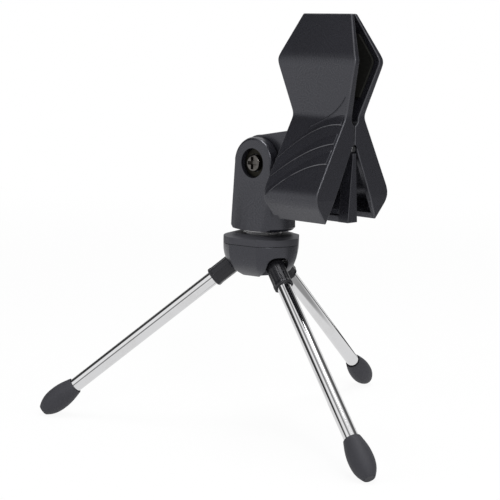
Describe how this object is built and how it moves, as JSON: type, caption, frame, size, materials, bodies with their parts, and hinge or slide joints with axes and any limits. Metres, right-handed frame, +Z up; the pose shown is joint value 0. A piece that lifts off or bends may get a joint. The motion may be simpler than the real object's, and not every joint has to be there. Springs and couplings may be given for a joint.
{
  "type": "table microphone tripod",
  "caption": "Small folding table tripod: chromed legs fold under a hub, a yoke turns on a thread and a sprung microphone clip tilts between its ears.",
  "frame": {"origin": "on the axis of the hub and its thread, at the table plane under the feet", "axes": "+Z up along the thread's axis, -Y forward the way the clip reaches, +X to the clip's right jaw"},
  "size_m": [0.1472, 0.1548, 0.1645],
  "materials": {
    "charcoal_plastic": "moulded satin charcoal",
    "black_plastic": "glossy black",
    "chrome": "bright chrome plating",
    "foot_rubber": "matt dark grey rubber",
    "liner_rubber": "matt black soft liner",
    "steel": "turned zinc-plated steel",
    "dark_steel": "worn blackened steel"
  },
  "bodies": {
    "hub": {"hub_body": "charcoal_plastic", "hub_cap": "charcoal_plastic", "threaded_stud": "steel", "hub_screw": "steel", "leg_pin_1": "steel", "leg_pin_2": "steel", "leg_pin_3": "steel"},
    "leg_1": {"leg_collar_1": "black_plastic", "leg_tube_1": "chrome", "leg_foot_1": "foot_rubber"},
    "leg_2": {"leg_collar_2": "black_plastic", "leg_tube_2": "chrome", "leg_foot_2": "foot_rubber"},
    "leg_3": {"leg_collar_3": "black_plastic", "leg_tube_3": "chrome", "leg_foot_3": "foot_rubber"},
    "head": {"yoke": "charcoal_plastic", "yoke_insert": "steel", "tilt_screw": "dark_steel", "tilt_nut": "steel"},
    "clip": {"clip_spine": "charcoal_plastic", "jaw_pin": "steel", "jaw_spring": "steel"},
    "jaw_right": {"jaw_right": "charcoal_plastic", "pad_right": "liner_rubber"},
    "jaw_left": {"jaw_left": "charcoal_plastic", "pad_left": "liner_rubber"}
  },
  "joints": [
    {"name": "leg_fold_1", "type": "hinge", "parent": "hub", "child": "leg_1", "pos_m": [-0.00317, -0.00843, 0.06781], "axis": [0.9361, -0.3518, 0], "range_deg": [0, 50]},
    {"name": "leg_fold_2", "type": "hinge", "parent": "hub", "child": "leg_2", "pos_m": [0.00888, 0.00147, 0.06781], "axis": [-0.1633, 0.9866, 0], "range_deg": [0, 50]},
    {"name": "leg_fold_3", "type": "hinge", "parent": "hub", "child": "leg_3", "pos_m": [-0.00571, 0.00696, 0.06781], "axis": [-0.7727, -0.6347, 0], "range_deg": [0, 50]},
    {"name": "head_turn", "type": "hinge", "parent": "hub", "child": "head", "pos_m": [0, 0, 0.0796], "axis": [0, 0, 1], "range_deg": [-180, 180]},
    {"name": "clip_tilt", "type": "hinge", "parent": "head", "child": "clip", "pos_m": [0, 0, 0.10611], "axis": [1, 0, 0], "range_deg": [-90, 18]},
    {"name": "jaw_open", "type": "hinge", "parent": "clip", "child": "jaw_right", "pos_m": [0, -0.0326, 0.11431], "axis": [0, 1, 0], "range_deg": [0, 18], "stiffness_Nm_per_rad": 0.12, "springref_deg": -22.92, "deforming": ["jaw_spring"]},
    {"name": "jaw_open_left", "type": "hinge", "parent": "clip", "child": "jaw_left", "pos_m": [0, -0.0326, 0.11431], "axis": [0, 1, 0], "range_deg": [-18, 0]}
  ],
  "couplings": [
    {"joint": "jaw_open_left", "follows": "jaw_open", "ratio": -1}
  ]
}
